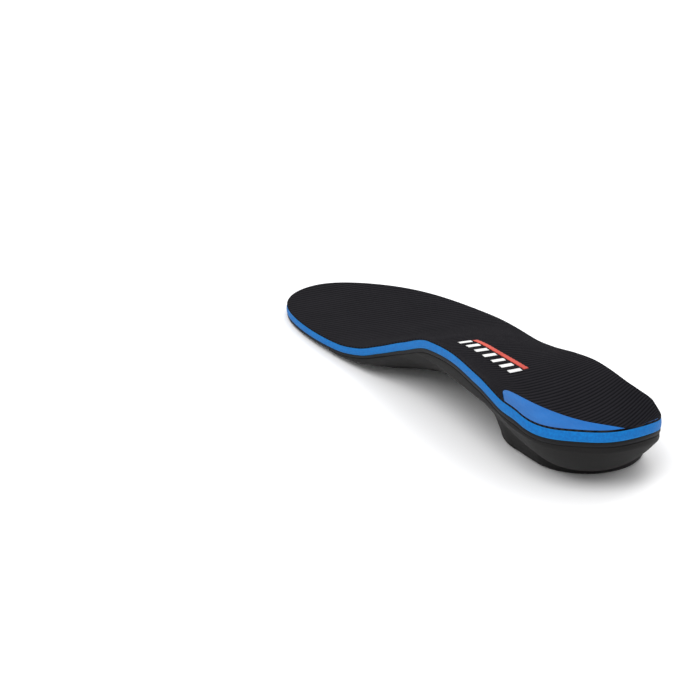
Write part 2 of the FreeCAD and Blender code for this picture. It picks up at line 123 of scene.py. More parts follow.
@dataclass(frozen=True)
class FootBed:
    """Heights and edges of the moulded foot bed, in millimetres.

    Each station is x, outer edge y, inner edge y, and the height of the cushion's top at the
    outer edge, in the middle and at the inner edge.
    """
    heel_x: float = 34.0
    crest_x: float = 93.0
    rear_rim: float = 30.5
    cup_curve: float = 2.7
    arch_curve: float = 1.75
    steepest: float = 0.44
    cover: float = 0.8
    cushion: float = 3.3
    heel_extra: float = 0.6
    heel_pad: tuple = (50.0, 110.0)
    backing: float = 1.3
    stations: tuple = (
        (34, -32.5, 33.0, 25.0, 11.5, 31.5), (48, -34.5, 35.0, 25.0, 11.6, 33.5),
        (68, -36.0, 35.5, 24.2, 12.6, 37.0), (93, -38.0, 35.0, 22.0, 15.0, 38.0),
        (118, -39.3, 35.2, 17.5, 16.3, 35.6), (143, -41.0, 36.5, 11.5, 16.5, 26.5),
        (163, -42.5, 39.0, 7.8, 14.6, 18.0), (180, -43.2, 41.5, 6.4, 10.4, 11.5),
        (198, -43.0, 44.2, 5.5, 6.4, 8.0), (222, -38.5, 45.5, 4.8, 4.8, 6.4),
        (250, -28.5, 44.0, 4.7, 4.7, 5.5), (290, -28.5, 40.0, 4.7, 4.7, 4.8))
    edge: tuple = (
        (0, 0), (5.6, -18.5), (25.7, -31.3), (58, -35), (93, -38), (128, -40), (163, -42.5),
        (198, -42.6), (228, -35.8), (255, -23.5), (273, -6), (281, 13), (277, 28), (264, 40),
        (243, 45.3), (216, 45.5), (186, 42.5), (156, 38), (126, 35.5), (93, 35), (60, 35.5),
        (28, 32), (6, 19))

    def column(self, k: int, x: Array) -> Array:
        """Column k of the stations, read smoothly at x."""
        return between([s[0] for s in self.stations], [s[k] for s in self.stations], x)

    def top(self, x: Array, y: Array) -> Array:
        """Height of the cushion's top.

        Args:
            x: distance from the back of the heel.
            y: distance from the middle, inwards.

        Returns:
            Heights above the floor, for the whole plane.
        """
        x, y = np.broadcast_arrays(np.asarray(x, float), np.asarray(y, float))
        inward = y > 0
        half = np.where(inward, self.column(2, x), -self.column(1, x))
        side = np.where(inward, self.column(5, x), self.column(3, x))
        across = np.abs(y) / half
        middle = self.column(4, x)
        behind = x < self.heel_x
        along = np.maximum(self.heel_x - x, 0.0) / self.heel_x
        reach = np.where(behind, np.hypot(along, across), across)
        back = np.where(behind, (along / np.maximum(reach, 1e-9)) ** 2, 0.0)
        rim = side + (self.rear_rim - side) * back
        flatter = np.clip((x - self.heel_x) / (self.crest_x - self.heel_x), 0.0, 1.0)
        curve = self.cup_curve + (self.arch_curve - self.cup_curve) * flatter
        rise = np.where(reach < 1, reach ** curve, 1 + curve * (reach - 1))
        return middle + (rim - middle) * rise

    def lean(self, x: Array, y: Array) -> Array:
        """How much taller a layer stands than it is thick where the bed leans."""
        gx = (self.top(x + 1, y) - self.top(x - 1, y)) / 2
        gy = (self.top(x, y + 1) - self.top(x, y - 1)) / 2
        return np.sqrt(1 + np.minimum(gx * gx + gy * gy, self.steepest))

    def padding(self, x: Array) -> Array:
        """Thickness of the cushion, which is more under the heel."""
        return self.cushion + self.heel_extra * between(self.heel_pad, (1.0, 0.0), x)

    def surface(self, depth: float, cushions: float = 0.0) -> Height:
        """A height function.

        Args:
            depth: how far under the cushion's top the surface lies.
            cushions: how many cushion thicknesses it lies further down.

        Returns:
            The function, which takes x and y.
        """
        return lambda x, y: self.top(x, y) - self.lean(x, y) * (depth + cushions * self.padding(x))


class Outline:
    """A closed plan curve, split into an outer (low y) and an inner (high y) side."""

    def __init__(self, points: Array) -> None:
        """Takes the curve's points, anticlockwise."""
        self.points = points
        ahead = np.roll(points, -1, 0) - np.roll(points, 1, 0)
        ahead /= np.linalg.norm(ahead, axis=1)[:, None]
        self.outward = np.stack([ahead[:, 1], -ahead[:, 0]], 1)
        rear, front = int(points[:, 0].argmin()), int(points[:, 0].argmax())
        turned = np.roll(np.arange(len(points)), -rear)
        cut = int(np.where(turned == front)[0][0])
        self.sides = (turned[:cut + 1], np.append(turned[cut:], rear)[::-1])
        self.start, self.end = float(points[rear, 0]), float(points[front, 0])

    def moved(self, inset: float) -> "Outline":
        """The same curve moved inwards by inset."""
        return Outline(self.points - self.outward * inset)

    def at(self, x: Array, side: int) -> tuple[Array, Array, Array]:
        """One side of the curve.

        Args:
            x: places along the insole.
            side: 0 for the outer side, 1 for the inner side.

        Returns:
            The curve's y there, and the x and y of its outward direction.
        """
        rows = self.sides[side]
        xs = np.maximum.accumulate(self.points[rows, 0])
        return tuple(np.interp(x, xs, v[rows]) for v in (
            self.points[:, 1], self.outward[:, 0], self.outward[:, 1]))


@dataclass(frozen=True)
class Grid:
    """How finely a full-length layer is divided, in millimetres and counts."""
    step: float
    columns: int
    end: float = 5.0
    end_rows: int = 12
    first: float = 0.02

    def rows(self, length: float) -> Array:
        """Places of the rows along a layer, closer together at its round ends."""
        t = np.linspace(0.0, 1.0, self.end_rows, endpoint=False)
        close = self.first + (self.end - self.first) * t ** 2
        middle = np.linspace(self.end, length - self.end, int((length - 2 * self.end) / self.step) + 1)
        return np.concatenate([close, middle, (length - close)[::-1]]) / length

    def across(self) -> Array:
        """Places of the columns across a layer, closer together towards its edges."""
        t = np.linspace(-1.0, 1.0, self.columns)
        return 0.5 + 0.5 * np.sin(t * math.pi / 2 * 0.86) / math.sin(math.pi / 2 * 0.86)


def new_object(name: str, points: Array, faces: Sequence[Sequence[int]]) -> bpy.types.Object:
    """A smooth-shaded mesh object at the origin.

    Args:
        name: the object's name.
        points: vertices in millimetres, x from the back of the heel.
        faces: vertex numbers of each face.

    Returns:
        The object, linked to the scene, with its vertices in the frame.
    """
    mesh = bpy.data.meshes.new(name)
    placed = (points - np.array([BED.heel_x, 0.0, 0.0])) * MM
    mesh.from_pydata(placed.tolist(), [], [list(map(int, f)) for f in faces])
    mesh.polygons.foreach_set("use_smooth", np.ones(len(mesh.polygons), bool))
    mesh.update()
    obj = bpy.data.objects.new(name, mesh)
    bpy.context.scene.collection.objects.link(obj)
    return obj


def store(obj: bpy.types.Object, name: str, values: Array) -> None:
    """Keeps one number for each vertex as a named attribute."""
    attribute = obj.data.attributes.new(name, "FLOAT", "POINT")
    attribute.data.foreach_set("value", np.asarray(values, np.float32))


class Layer:
    """One full-length layer: a top and a bottom grid joined by a shaped edge wall."""

    def __init__(self, name: str, upper: Height, lower: Height, grid: Grid,
                 wall: Sequence[tuple[float, float]]) -> None:
        """Sets the layer's shape.

        Args:
            name: name of the finished object.
            upper: height of its top.
            lower: height of its bottom.
            grid: how finely it is divided.
            wall: profile of the edge, from top to bottom: share of the way down, and inset.
        """
        self.name, self.upper, self.lower, self.grid, self.wall = name, upper, lower, grid, wall

    def plan(self, inset: float) -> tuple[Array, Array]:
        """x and y of the grid's points inside the outline moved in by inset."""
        outline = EDGE.moved(inset)
        share = self.grid.rows(EDGE.end - EDGE.start)
        x = outline.start + share * (outline.end - outline.start)
        low, high = outline.at(x, 0)[0], outline.at(x, 1)[0]
        y = low[:, None] + (high - low)[:, None] * self.grid.across()[None, :]
        return np.repeat(x[:, None], self.grid.columns, 1), y

    def build(self) -> bpy.types.Object:
        """Makes the closed mesh, with attributes for its finish.

        Returns:
            The layer's object. Its attribute "band" is 0 on the faces and rises to 1 half-way
            down the edge wall, and "inside" is 0 at the edge and 1 away from it.
        """
        top_x, top_y = self.plan(self.wall[0][1])
        low_x, low_y = self.plan(self.wall[-1][1])
        n, m = top_x.shape
        number = np.arange(n * m).reshape(n, m)
        loop = np.concatenate([number[0, :], number[1:, -1], number[-1, -2::-1], number[-2:0:-1, 0]])
        top = np.stack([top_x, top_y, self.upper(top_x, top_y)], -1).reshape(-1, 3)
        low = np.stack([low_x, low_y, self.lower(low_x, low_y)], -1).reshape(-1, 3)
        nominal_x, nominal_y = (v.reshape(-1)[loop] for v in self.plan(0.0))
        rim_top, rim_low = self.upper(nominal_x, nominal_y), self.lower(nominal_x, nominal_y)
        levels = []
        for share, inset in self.wall[1:-1]:
            x, y = (v.reshape(-1)[loop] for v in self.plan(inset))
            levels.append(np.stack([x, y, rim_top + (rim_low - rim_top) * share], -1))
        points = np.concatenate([top, low, *levels])
        a, b, c, d = number[:-1, :-1], number[1:, :-1], number[1:, 1:], number[:-1, 1:]
        faces = np.stack([a, b, c, d], -1).reshape(-1, 4)
        rings = [loop] + [2 * n * m + k * len(loop) + np.arange(len(loop)) for k in range(len(levels))]
        rings.append(n * m + loop)
        quads = [faces, n * m + faces[:, ::-1]]
        for above, under in zip(rings, rings[1:]):
            quads.append(np.stack([above, np.roll(above, -1), np.roll(under, -1), under], -1))
        obj = new_object(self.name, points, np.concatenate(quads))
        shares = np.concatenate([np.zeros(2 * n * m)] + [np.full(len(loop), s) for s, _ in self.wall[1:-1]])
        store(obj, "band", np.where(shares > 0, 1 - np.abs(2 * shares - 1), 0.0))
        edge_near = np.minimum(np.abs(top_y - top_y[:, :1]), np.abs(top_y - top_y[:, -1:]))
        ends_near = np.minimum(top_x - EDGE.start, EDGE.end - top_x)
        inside = np.clip(np.minimum(edge_near, ends_near) / 1.6, 0, 1).reshape(-1)
        store(obj, "inside", np.concatenate([inside, np.zeros(len(points) - n * m)]))
        store(obj, "along", points[:, 0] + 3.0 * (points[:, 1] / 40) ** 2)
        self.lay_out(obj, points)
        return obj

    @staticmethod
    def lay_out(obj: bpy.types.Object, points: Array) -> None:
        """Gives the mesh a UV map in metres: u round the section, v along the insole."""
        bend = BED.lean(points[:, 0], points[:, 1])
        uv = np.stack([points[:, 1] * bend, points[:, 0]], -1) * MM
        corner = np.empty(len(obj.data.loops), int)
        obj.data.loops.foreach_get("vertex_index", corner)
        layer = obj.data.uv_layers.new(name="laid_flat")
        layer.data.foreach_set("uv", uv[corner].astype(np.float32).reshape(-1))


BED = FootBed()
EDGE = Outline(smooth_loop(BED.edge, 3000))


# ------------------------------------------------------------------ node trees
class Nodes:
    """Short calls for filling a shader's or a geometry modifier's node tree."""

    def __init__(self, tree: bpy.types.NodeTree) -> None:
        """Takes the tree to fill."""
        self.tree = tree

    def add(self, kind: str, inputs: Optional[dict] = None, **settings: object) -> bpy.types.Node:
        """Adds a node.

        Args:
            kind: the node's type.
            inputs: values or output sockets for its inputs, by name or number.
            **settings: the node's own properties.

        Returns:
            The node.
        """
        node = self.tree.nodes.new(kind)
        for name, value in settings.items():
            setattr(node, name, value)
        for key, value in (inputs or {}).items():
            if isinstance(value, bpy.types.NodeSocket):
                self.tree.links.new(value, node.inputs[key])
            else:
                node.inputs[key].default_value = value
        return node

    def math(self, operation: str, *values: object, clamp: bool = False) -> bpy.types.NodeSocket:
        """The output of a Math node on the given values or sockets."""
        return self.add("ShaderNodeMath", dict(enumerate(values)), operation=operation,
                        use_clamp=clamp).outputs[0]

    def vector(self, operation: str, *values: object) -> bpy.types.NodeSocket:
        """The output of a Vector Math node on the given values or sockets."""
        return self.add("ShaderNodeVectorMath", dict(enumerate(values)), operation=operation).outputs[0]


class Weave(Enum):
    """How a shader places its pattern."""
    SOLID = "Object"
    LAID = "UV"


class Shader:
    """A Principled material under construction."""

    def __init__(self, name: str, weave: Weave, **fixed: object) -> None:
        """Starts the material.

        Args:
            name: the material's name.
            weave: how its pattern is placed.
            **fixed: values that are the same all over, by socket name with _ for spaces.
        """
        self.material = bpy.data.materials.new(name)
        self.material.use_nodes = True
        self.nodes = Nodes(self.material.node_tree)
        self.surface = self.material.node_tree.nodes["Principled BSDF"]
        for key, value in fixed.items():
            self.surface.inputs[key.replace("_", " ")].default_value = value
        self.place = self.nodes.add("ShaderNodeTexCoord").outputs[weave.value]

    def noise(self, scale: float, detail: float = 3.0, rough: float = 0.55,
              stretch: Optional[tuple[float, float, float]] = None) -> bpy.types.NodeSocket:
        """A noise pattern.

        Args:
            scale: cells for each metre.
            detail: how many finer octaves it has.
            rough: how strong they are.
            stretch: scale along each axis, before the noise.

        Returns:
            The noise's value, about a half in the middle.
        """
        place = self.place
        if stretch is not None:
            place = self.nodes.add("ShaderNodeMapping", {"Vector": place, "Scale": stretch}).outputs[0]
        return self.nodes.add("ShaderNodeTexNoise", {
            "Vector": place, "Scale": scale, "Detail": detail, "Roughness": rough}).outputs[0]

    def cells(self, scale: float, feature: str = "F1") -> bpy.types.NodeSocket:
        """Distance to the nearest of scattered points, scale of them for each metre."""
        return self.nodes.add("ShaderNodeTexVoronoi", {"Vector": self.place, "Scale": scale},
                              feature=feature).outputs["Distance"]

    def shade(self, amount: bpy.types.NodeSocket, low: float, high: float, dark: Colour,
              light: Colour) -> bpy.types.NodeSocket:
        """A colour that runs from dark to light as amount goes from low to high."""
        ramp = self.nodes.add("ShaderNodeValToRGB", {0: amount})
        for element, place, colour in zip(ramp.color_ramp.elements, (low, high), (dark, light)):
            element.position, element.color = place, (*colour, 1.0)
        return ramp.outputs[0]

    def colour(self, socket: bpy.types.NodeSocket) -> None:
        """Uses a colour pattern as the base colour."""
        self.material.node_tree.links.new(socket, self.surface.inputs["Base Color"])

    def roughness(self, amount: bpy.types.NodeSocket, low: float, high: float) -> None:
        """Lets the roughness run from low to high with a pattern."""
        spread = self.nodes.add("ShaderNodeMapRange", {"Value": amount, "To Min": low, "To Max": high})
        self.material.node_tree.links.new(spread.outputs[0], self.surface.inputs["Roughness"])

    def bumps(self, *layers: tuple[bpy.types.NodeSocket, float, float]) -> None:
        """Stacks bump patterns.

        Args:
            *layers: for each, the pattern, its height in metres and its strength.
        """
        normal = None
        for pattern, height, strength in layers:
            inputs = {"Height": pattern, "Distance": height, "Strength": strength}
            if normal is not None:
                inputs["Normal"] = normal
            normal = self.nodes.add("ShaderNodeBump", inputs).outputs[0]
        self.material.node_tree.links.new(normal, self.surface.inputs["Normal"])


# ------------------------------------------------------------------ finishes
@dataclass(frozen=True)
class RibbedKnit:
    """Near-black polyester knit: fine wales along the foot, fuzz, a soft sheen, and painted shade in the
    grooves between the ribs.
    """
    dark: Colour = (0.0025, 0.0025, 0.0034)
    light: Colour = (0.0175, 0.0166, 0.0196)
    wale: float = 0.0009
    loop: float = 0.0006

    def make(self) -> bpy.types.Material:
        """The finished material."""
        s = Shader("ribbed_knit", Weave.LAID, Roughness=0.9, Specular_IOR_Level=0.03)
        split = s.nodes.add("ShaderNodeSeparateXYZ", {0: s.place})
        wales = s.nodes.math("SINE", s.nodes.math("MULTIPLY", split.outputs[0], 2 * math.pi / self.wale))
        loops = s.nodes.math("SINE", s.nodes.math("MULTIPLY", split.outputs[1], 2 * math.pi / self.loop))
        stitch = s.nodes.math("MULTIPLY", wales, loops)
        fuzz = s.noise(2600, 3.0, 0.65)
        worn = s.noise(45, 4.0, 0.6)
        # Painted shade: the colour is lighter on the rib tops and darker in the grooves between them, following
        # the raised ribs.
        along = s.nodes.add("ShaderNodeAttribute", attribute_name="along").outputs["Fac"]
        turn = s.nodes.math("MULTIPLY", along, math.pi / RIB_PITCH)
        painted_rib_shade = s.nodes.math("ABSOLUTE", s.nodes.math("SINE", turn))
        mixed = s.nodes.math("ADD", s.nodes.math("MULTIPLY", fuzz, 0.5), s.nodes.math("MULTIPLY", worn, 0.14))
        mixed = s.nodes.math("ADD", mixed, s.nodes.math("MULTIPLY", painted_rib_shade, 0.36))
        s.colour(s.shade(mixed, 0.34, 0.72, self.dark, self.light))
        s.bumps((stitch, 0.00006, 0.6), (fuzz, 0.00010, 0.55))
        return s.material


@dataclass(frozen=True)
class CellFoam:
    """Closed-cell foam with a cut edge: fine pores, and a painted highlight that makes the flat faces and the
    top and bottom of the cut edge paler.
    """
    name: str
    dark: Colour
    light: Colour
    edge_highlight: Colour
    rough: float = 0.62

    def make(self) -> bpy.types.Material:
        """The finished material."""
        s = Shader(self.name, Weave.SOLID, Specular_IOR_Level=0.16)
        pores = s.cells(2400)
        mottle = s.noise(900, 4.0, 0.6)
        body = s.shade(mottle, 0.36, 0.66, self.dark, self.light)
        # Painted highlight: the faces and the top and bottom of the edge wall are mixed towards the paler
        # colour, while the middle of the wall keeps the foam's own colour.
        band = s.nodes.add("ShaderNodeAttribute", attribute_name="band").outputs["Fac"]
        ragged = s.nodes.math("ADD", band, s.nodes.math("MULTIPLY", s.noise(500, 2.0), 0.10))
        painted_highlight = s.nodes.add("ShaderNodeMapRange", {"Value": ragged, "From Min": 0.08, "From Max": 0.26,
                                                     "To Min": 0.55, "To Max": 0.0}).outputs[0]
        mix = s.nodes.add("ShaderNodeMix", {"Factor": painted_highlight, 6: body, 7: (*self.edge_highlight, 1.0)},
                          data_type="RGBA")
        s.colour(mix.outputs[2])
        s.roughness(mottle, self.rough - 0.12, self.rough + 0.14)
        s.bumps((pores, 0.00012, 0.35), (mottle, 0.00010, 0.35))
        return s.material


@dataclass(frozen=True)
class Moulded:
    """Moulded EVA or plastic: fine spark texture, slightly uneven gloss."""
    name: str
    dark: Colour
    light: Colour
    rough: float
    grain: float
    relief: float

    def make(self) -> bpy.types.Material:
        """The finished material."""
        s = Shader(self.name, Weave.SOLID, Specular_IOR_Level=0.16)
        grain = s.noise(self.grain, 4.0, 0.6)
        cloud = s.noise(60, 3.0, 0.5)
        mixed = s.nodes.math("ADD", s.nodes.math("MULTIPLY", grain, 0.6), s.nodes.math("MULTIPLY", cloud, 0.4))
        s.colour(s.shade(mixed, 0.36, 0.66, self.dark, self.light))
        s.roughness(cloud, self.rough - 0.10, self.rough + 0.10)
        s.bumps((grain, self.relief, 0.6))
        return s.material


@dataclass(frozen=True)
class SatinFilm:
    """Smooth satin polyurethane film, with a slight orange peel and fine scuffs."""
    name: str
    dark: Colour
    light: Colour
    rough: float = 0.34

    def make(self) -> bpy.types.Material:
        """The finished material."""
        s = Shader(self.name, Weave.SOLID, Specular_IOR_Level=0.12)
        cloud = s.noise(70, 3.0, 0.5)
        scuffs = s.noise(700, 3.0, 0.6, stretch=(0.25, 1.0, 1.0))
        s.colour(s.shade(cloud, 0.30, 0.72, self.dark, self.light))
        s.roughness(scuffs, self.rough - 0.08, self.rough + 0.14)
        s.bumps((scuffs, 0.00002, 0.4), (cloud, 0.00025, 0.25))
        return s.material


KNIT = RibbedKnit()
CUSHION_FOAM = CellFoam("cushion_foam", (0.000, 0.100, 0.34), (0.000, 0.142, 0.43), (0.006, 0.21, 0.54))
BACKING_FOAM = CellFoam("backing_foam", (0.0025, 0.0025, 0.003), (0.006, 0.006, 0.007), (0.012, 0.012, 0.014))
BASE_EVA = Moulded("base_foam", (0.0038, 0.0036, 0.0037), (0.0092, 0.0086, 0.0086), 0.66, 1500, 0.00010)
STIFF_PLASTIC = Moulded("stiffener_plastic", (0.020, 0.020, 0.022), (0.034, 0.034, 0.037), 0.42, 700, 0.00004)
PATCH_FILM = SatinFilm("patch_film", (0.000, 0.098, 0.35), (0.000, 0.122, 0.41), 0.46)
WHITE_INK = SatinFilm("print_white", (0.66, 0.66, 0.66), (0.80, 0.80, 0.79), 0.55)
CORAL_INK = SatinFilm("print_coral", (0.46, 0.060, 0.045), (0.60, 0.10, 0.07), 0.55)


# ------------------------------------------------------------------ geometry modifiers
class Repeat:
    """A Geometry Nodes modifier with named inputs that ends in one plain mesh."""

    def __init__(self, name: str) -> None:
        """Starts an empty tree with a mesh going in and a mesh coming out."""
        self.tree = bpy.data.node_groups.new(name, "GeometryNodeTree")
        self.nodes = Nodes(self.tree)
        self.tree.interface.new_socket("Geometry", in_out="INPUT", socket_type="NodeSocketGeometry")
        self.tree.interface.new_socket("Geometry", in_out="OUTPUT", socket_type="NodeSocketGeometry")
        self.values: dict[str, object] = {}
        self.source = self.nodes.add("NodeGroupInput")

    def input(self, name: str, kind: str, value: object) -> bpy.types.NodeSocket:
        """Adds a named input.

        Args:
            name: the input's name.
            kind: Float, Int, Object or Material.
            value: what the modifier passes in.

        Returns:
            The input's socket inside the tree.
        """
        socket = self.tree.interface.new_socket(name, in_out="INPUT", socket_type="NodeSocket" + kind)
        self.values[socket.identifier] = value
        return self.source.outputs[name]

    def finish(self, obj: bpy.types.Object, geometry: bpy.types.NodeSocket,
               material: bpy.types.Material) -> bpy.types.Object:
        """Ends the tree, runs it on an object and keeps the result as its mesh.

        Args:
            obj: the object to change.
            geometry: the tree's last geometry.
            material: the finish of the result.

        Returns:
            The same object, with a plain mesh and no modifier.
        """
        finish = self.input("Finish", "Material", material)
        real = self.nodes.add("GeometryNodeRealizeInstances", {0: geometry})
        done = self.nodes.add("GeometryNodeSetMaterial", {"Geometry": real.outputs[0], "Material": finish})
        self.nodes.add("NodeGroupOutput", {0: done.outputs[0]})
        modifier = obj.modifiers.new(self.tree.name, "NODES")
        modifier.node_group = self.tree
        for identifier, value in self.values.items():
            modifier[identifier] = value
        evaluated = obj.evaluated_get(bpy.context.evaluated_depsgraph_get())
        mesh = bpy.data.meshes.new_from_object(evaluated)
        obj.modifiers.remove(modifier)
        old, obj.data = obj.data, mesh
        bpy.data.meshes.remove(old)
        mesh.name = obj.name
        mesh.polygons.foreach_set("use_smooth", np.ones(len(mesh.polygons), bool))
        return obj


# ------------------------------------------------------------------ full-length layers
@dataclass
class SoftStack:
    """The three full-length layers: knit cover, cushion and backing, each in one piece."""
    rib_pitch: float = RIB_PITCH
    rib_height: float = 0.26
    hinge: str = "ball_flex"
    bend_before: float = 4.0
    bend_after: float = 34.0
    cover_cut: tuple[float, float] = (0.096, 0.290)
    cover_area: float = 0.0215
    cushion_fill: float = 0.9
    backing_fill: float = 1.0

    def bend(self, piece: bpy.types.Object) -> None:
        """Bakes a piece's placement into its mesh."""
        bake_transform(piece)

    def cover(self) -> bpy.types.Object:
        """The knit cover, with its ribs raised from the sheet."""
        layer = Layer("top_cover", BED.surface(-BED.cover), BED.surface(0.02), Grid(0.34, 42),
                      ((0.0, 0.42), (0.12, 0.16), (0.38, 0.0), (0.8, 0.0), (1.0, 0.12)))
        obj = layer.build()
        repeat = Repeat("knit_ribs")
        nodes = repeat.nodes
        mesh = repeat.source.outputs[0]
        pitch = repeat.input("Rib Pitch", "Float", self.rib_pitch)
        height = repeat.input("Rib Height", "Float", self.rib_height * MM)
        along = nodes.add("GeometryNodeInputNamedAttribute", {"Name": "along"}, data_type="FLOAT").outputs[0]
        inside = nodes.add("GeometryNodeInputNamedAttribute", {"Name": "inside"}, data_type="FLOAT").outputs[0]
        turn = nodes.math("MULTIPLY", nodes.math("DIVIDE", along, pitch), math.pi)
        wave = nodes.math("POWER", nodes.math("ABSOLUTE", nodes.math("SINE", turn)), 0.8)
        flatter = nodes.add("ShaderNodeMapRange", {
            "Value": along, "From Min": 165.0, "From Max": 205.0, "To Min": 1.0, "To Max": 0.45}).outputs[0]
        shape = nodes.math("MULTIPLY", wave, inside)
        rise = nodes.math("MULTIPLY", shape, nodes.math("MULTIPLY", height, flatter))
        normal = nodes.add("GeometryNodeInputNormal").outputs[0]
        offset = nodes.add("ShaderNodeVectorMath", {0: normal, "Scale": rise}, operation="SCALE").outputs[0]
        moved = nodes.add("GeometryNodeSetPosition", {"Geometry": mesh, "Offset": offset})
        repeat.finish(obj, moved.outputs[0], KNIT.make())
        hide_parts("top_cover_rear", "top_cover_toe")
        return obj

    def cushion(self) -> bpy.types.Object:
        """The blue cushion, whose cut edge is the band round the insole."""
        layer = Layer("cushion", BED.surface(0.05), BED.surface(-0.02, 1.0), Grid(1.1, 34), (
            (0.0, 0.34), (0.015, 0.12), (0.06, 0.0), (0.16, -0.10), (0.34, -0.20), (0.5, -0.24),
            (0.66, -0.20), (0.84, -0.12), (0.94, 0.0), (0.985, 0.12), (1.0, 0.34)))
        obj = layer.build()
        obj.data.materials.append(CUSHION_FOAM.make())
        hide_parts("cushion_rear", "cushion_toe")
        return obj

    def backing(self) -> bpy.types.Object:
        """The thin black foam glued under the cushion."""
        layer = Layer("backing", BED.surface(0.0, 1.0), BED.surface(BED.backing - 0.02, 1.0),
                      Grid(1.1, 34), ((0.0, 0.30), (0.06, 0.16), (0.25, 0.10), (0.75, 0.10),
                                      (0.94, 0.16), (1.0, 0.40)))
        obj = layer.build()
        obj.data.materials.append(BACKING_FOAM.make())
        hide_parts("backing_rear", "backing_toe")
        return obj

    def build(self) -> list[bpy.types.Object]:
        """Makes the three layers and bakes each one's placement into its mesh."""
        made = [self.cover(), self.cushion(), self.backing()]
        for piece in made:
            self.bend(piece)
        return made


# ------------------------------------------------------------------ film and print on the cover
@dataclass
class HeelPatch:
    """The smooth film over the heel, cut off a little inside the rim."""
    centre: tuple[float, float] = (46.0, 4.0)
    rim_inset: float = 0.9
    lift: float = 0.30
    thickness: float = 0.22
    rings: int = 46
    spokes: int = 240
    corner: float = 1.2
    edge_drop: tuple[float, float] = (0.3, 0.8)
    outline: tuple = (
        (88.5, 10.5), (85, 14.3), (79, 17.2), (71, 20.8), (57.6, 24.6), (40, 21.5), (20, 17), (-8, 12),
        (-14, -6), (-4, -24), (14, -24.5), (30, -20), (42, -15.5), (56, -8), (70, -1.2), (82, 4.4))

    def reach(self, curve: Array, angle: Array) -> Array:
        """How far a closed curve lies from the patch's middle, in each direction."""
        away = curve - np.array(self.centre)
        turn = np.arctan2(away[:, 1], away[:, 0])
        order = np.argsort(turn)
        return np.interp(angle, turn[order], np.hypot(away[:, 0], away[:, 1])[order], period=2 * math.pi)

    def build(self) -> bpy.types.Object:
        """Makes the film, laid over the ribs."""
        angle = np.linspace(-math.pi, math.pi, self.spokes, endpoint=False)
        free = self.reach(smooth_loop(self.outline, 1500), angle)
        rim = self.reach(EDGE.moved(self.rim_inset).points, angle)
        reach = -self.corner * np.log(np.exp(-free / self.corner) + np.exp(-rim / self.corner))
        share = np.sin(np.linspace(0.02, 1.0, self.rings) * math.pi / 2)
        radius = share[:, None] * reach[None, :]
        x = self.centre[0] + radius * np.cos(angle)[None, :]
        y = self.centre[1] + radius * np.sin(angle)[None, :]
        under = BED.surface(-BED.cover)(x, y)
        drop = np.zeros_like(x)
        drop[-2], drop[-1] = self.edge_drop
        slope = [BED.top(x + 1.0, y) - BED.top(x - 1.0, y), BED.top(x, y + 1.0) - BED.top(x, y - 1.0)]
        steep = np.sqrt(1 + (slope[0] / 2) ** 2 + (slope[1] / 2) ** 2)
        high = under + steep * (self.lift + self.thickness * (1 - drop))
        low = under + self.lift * 0.2
        n, m = x.shape
        number = np.arange(n * m).reshape(n, m)
        turned = np.roll(number, -1, 1)
        ring = np.stack([number[:-1], number[1:], turned[1:], turned[:-1]], -1).reshape(-1, 4)
        sides = np.stack([number[-1], n * m + number[-1], n * m + turned[-1], turned[-1]], -1)
        points = np.concatenate([np.stack([x, y, z], -1).reshape(-1, 3) for z in (high, low)])
        faces = [*ring, *(n * m + ring[:, ::-1]), *sides, number[0], n * m + number[0][::-1]]
        obj = new_object("heel_film", points, faces)
        obj.data.materials.append(PATCH_FILM.make())
        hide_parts("heel_patch")
        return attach(obj, REAR)


